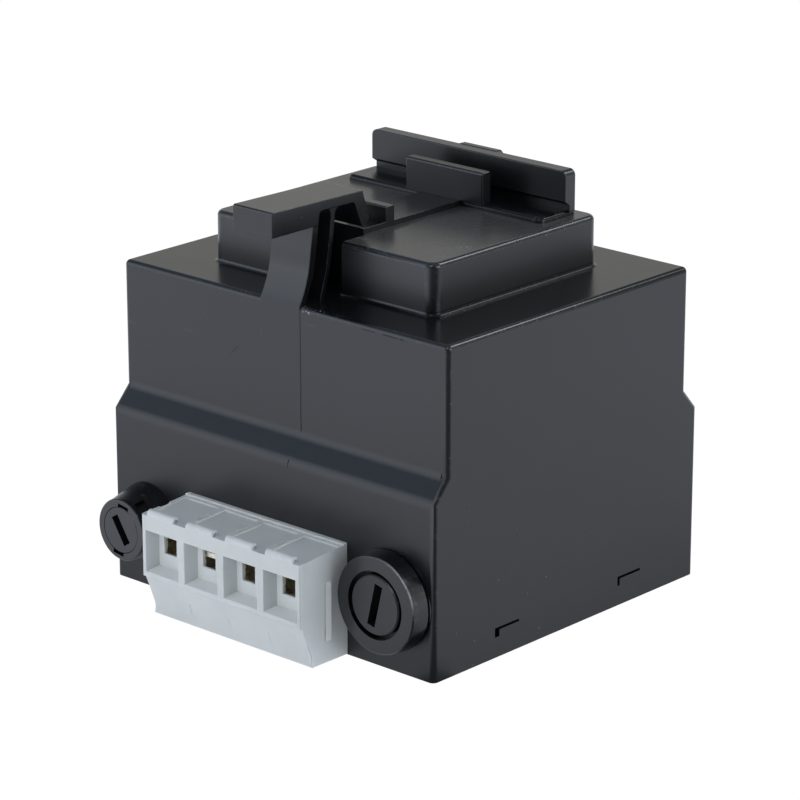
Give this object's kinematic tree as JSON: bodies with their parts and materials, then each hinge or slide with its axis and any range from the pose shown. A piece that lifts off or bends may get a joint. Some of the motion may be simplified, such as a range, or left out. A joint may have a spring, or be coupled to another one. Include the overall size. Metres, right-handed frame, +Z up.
{
  "type": "rail-mount isolation transformer",
  "caption": "Black box-shaped isolation transformer with a top-hat rail clip, a light grey screw terminal strip and slotted fuse holders on one side.",
  "frame": {"origin": "centre of the flat cover that the box stands on", "axes": "X along the rail, -Y the side with the terminals and fuses, +Z up to the rail clip"},
  "size_m": [0.0806, 0.0862, 0.0801],
  "materials": {
    "box_plastic": "satin black moulded thermoplastic with a fine mould texture",
    "latch_plastic": "satin black moulded thermoplastic, smooth",
    "terminal_plastic": "light grey moulded polyamide",
    "cage_metal": "nickel-plated pressed clamp, slightly yellowed",
    "screw_steel": "zinc-plated steel",
    "tinned_bar": "tinned brass",
    "holder_plastic": "black moulded thermoset, fine satin",
    "cap_plastic": "black moulded plastic, fine satin",
    "fuse_glass": "clear glass tube",
    "fuse_end_metal": "nickel-plated end caps",
    "fuse_wire_metal": "tinned wire",
    "contact_brass": "stamped brass",
    "core_steel": "varnished electrical sheet stack",
    "bobbin_plastic": "natural polyamide",
    "coil_tape": "polyester tape",
    "copper_wire": "enamelled copper wire",
    "lead_insulation": "insulated flexible lead"
  },
  "bodies": {
    "box": {"housing": "box_plastic", "base_cover": "box_plastic", "rail_latch_legs": "latch_plastic", "terminal_block": "terminal_plastic", "contact_bar_1": "tinned_bar", "contact_bar_2": "tinned_bar", "contact_bar_3": "tinned_bar", "contact_bar_4": "tinned_bar", "fuse_holder_left": "holder_plastic", "fuse_rear_contact_left": "contact_brass", "fuse_side_contact_left": "contact_brass", "fuse_holder_right": "holder_plastic", "fuse_rear_contact_right": "contact_brass", "fuse_side_contact_right": "contact_brass", "core_e_stack": "core_steel", "core_i_stack": "core_steel", "core_screws": "screw_steel", "bobbin": "bobbin_plastic", "primary_winding": "copper_wire", "winding_insulation": "coil_tape", "secondary_winding": "copper_wire", "outer_wrap": "coil_tape", "lead_input_fuse": "lead_insulation", "lead_fuse_primary": "lead_insulation", "lead_input_primary": "lead_insulation", "lead_output_secondary": "lead_insulation", "lead_output_fuse": "lead_insulation", "lead_fuse_secondary": "lead_insulation"},
    "latch": {"rail_latch_head": "latch_plastic"},
    "fuse_left": {"fuse_tube_left": "fuse_glass", "fuse_ends_left": "fuse_end_metal", "fuse_wire_left": "fuse_wire_metal"},
    "cap_left": {"fuse_cap_left": "cap_plastic"},
    "fuse_right": {"fuse_tube_right": "fuse_glass", "fuse_ends_right": "fuse_end_metal", "fuse_wire_right": "fuse_wire_metal"},
    "cap_right": {"fuse_cap_right": "cap_plastic"},
    "screw_1": {"clamp_screw_1": "screw_steel"},
    "cage_1": {"clamp_cage_1": "cage_metal"},
    "screw_2": {"clamp_screw_2": "screw_steel"},
    "cage_2": {"clamp_cage_2": "cage_metal"},
    "screw_3": {"clamp_screw_3": "screw_steel"},
    "cage_3": {"clamp_cage_3": "cage_metal"},
    "screw_4": {"clamp_screw_4": "screw_steel"},
    "cage_4": {"clamp_cage_4": "cage_metal"}
  },
  "joints": [
    {"name": "latch_pull", "type": "slide", "parent": "box", "child": "latch", "axis": [0, -1, 0], "range_m": [0, 0.003], "stiffness_N_per_m": 4000, "deforming": ["rail_latch_legs"]},
    {"name": "fuse_left_pull", "type": "slide", "parent": "box", "child": "fuse_left", "axis": [0, -1, 0], "range_m": [0, 0.03]},
    {"name": "fuse_left_turn", "type": "hinge", "parent": "fuse_left", "child": "cap_left", "pos_m": [-0.0313, -0.04425, 0.0131], "axis": [0, -1, 0], "range_deg": [0, 45]},
    {"name": "fuse_right_pull", "type": "slide", "parent": "box", "child": "fuse_right", "axis": [0, -1, 0], "range_m": [0, 0.03]},
    {"name": "fuse_right_turn", "type": "hinge", "parent": "fuse_right", "child": "cap_right", "pos_m": [0.0301, -0.04115, 0.0134], "axis": [0, -1, 0], "range_deg": [0, 45]},
    {"name": "screw_1_turn", "type": "hinge", "parent": "box", "child": "screw_1", "pos_m": [-0.01525, -0.043, 0.005], "axis": [0, 0, 1], "range_deg": [0, 2160]},
    {"name": "cage_1_slide", "type": "slide", "parent": "box", "child": "cage_1", "axis": [0, 0, -1], "range_m": [0, 0.003]},
    {"name": "screw_2_turn", "type": "hinge", "parent": "box", "child": "screw_2", "pos_m": [-0.00525, -0.043, 0.005], "axis": [0, 0, 1], "range_deg": [-1368, 792]},
    {"name": "cage_2_slide", "type": "slide", "parent": "box", "child": "cage_2", "axis": [0, 0, -1], "range_m": [-0.0019, 0.0011]},
    {"name": "screw_3_turn", "type": "hinge", "parent": "box", "child": "screw_3", "pos_m": [0.00475, -0.043, 0.005], "axis": [0, 0, 1], "range_deg": [0, 2160]},
    {"name": "cage_3_slide", "type": "slide", "parent": "box", "child": "cage_3", "axis": [0, 0, -1], "range_m": [0, 0.003]},
    {"name": "screw_4_turn", "type": "hinge", "parent": "box", "child": "screw_4", "pos_m": [0.01475, -0.043, 0.005], "axis": [0, 0, 1], "range_deg": [0, 2160]},
    {"name": "cage_4_slide", "type": "slide", "parent": "box", "child": "cage_4", "axis": [0, 0, -1], "range_m": [0, 0.003]}
  ],
  "couplings": [
    {"joint": "screw_1_turn", "follows": "cage_1_slide", "rad_per_m": 12566},
    {"joint": "screw_2_turn", "follows": "cage_2_slide", "rad_per_m": 12566},
    {"joint": "screw_3_turn", "follows": "cage_3_slide", "rad_per_m": 12566},
    {"joint": "screw_4_turn", "follows": "cage_4_slide", "rad_per_m": 12566}
  ]
}
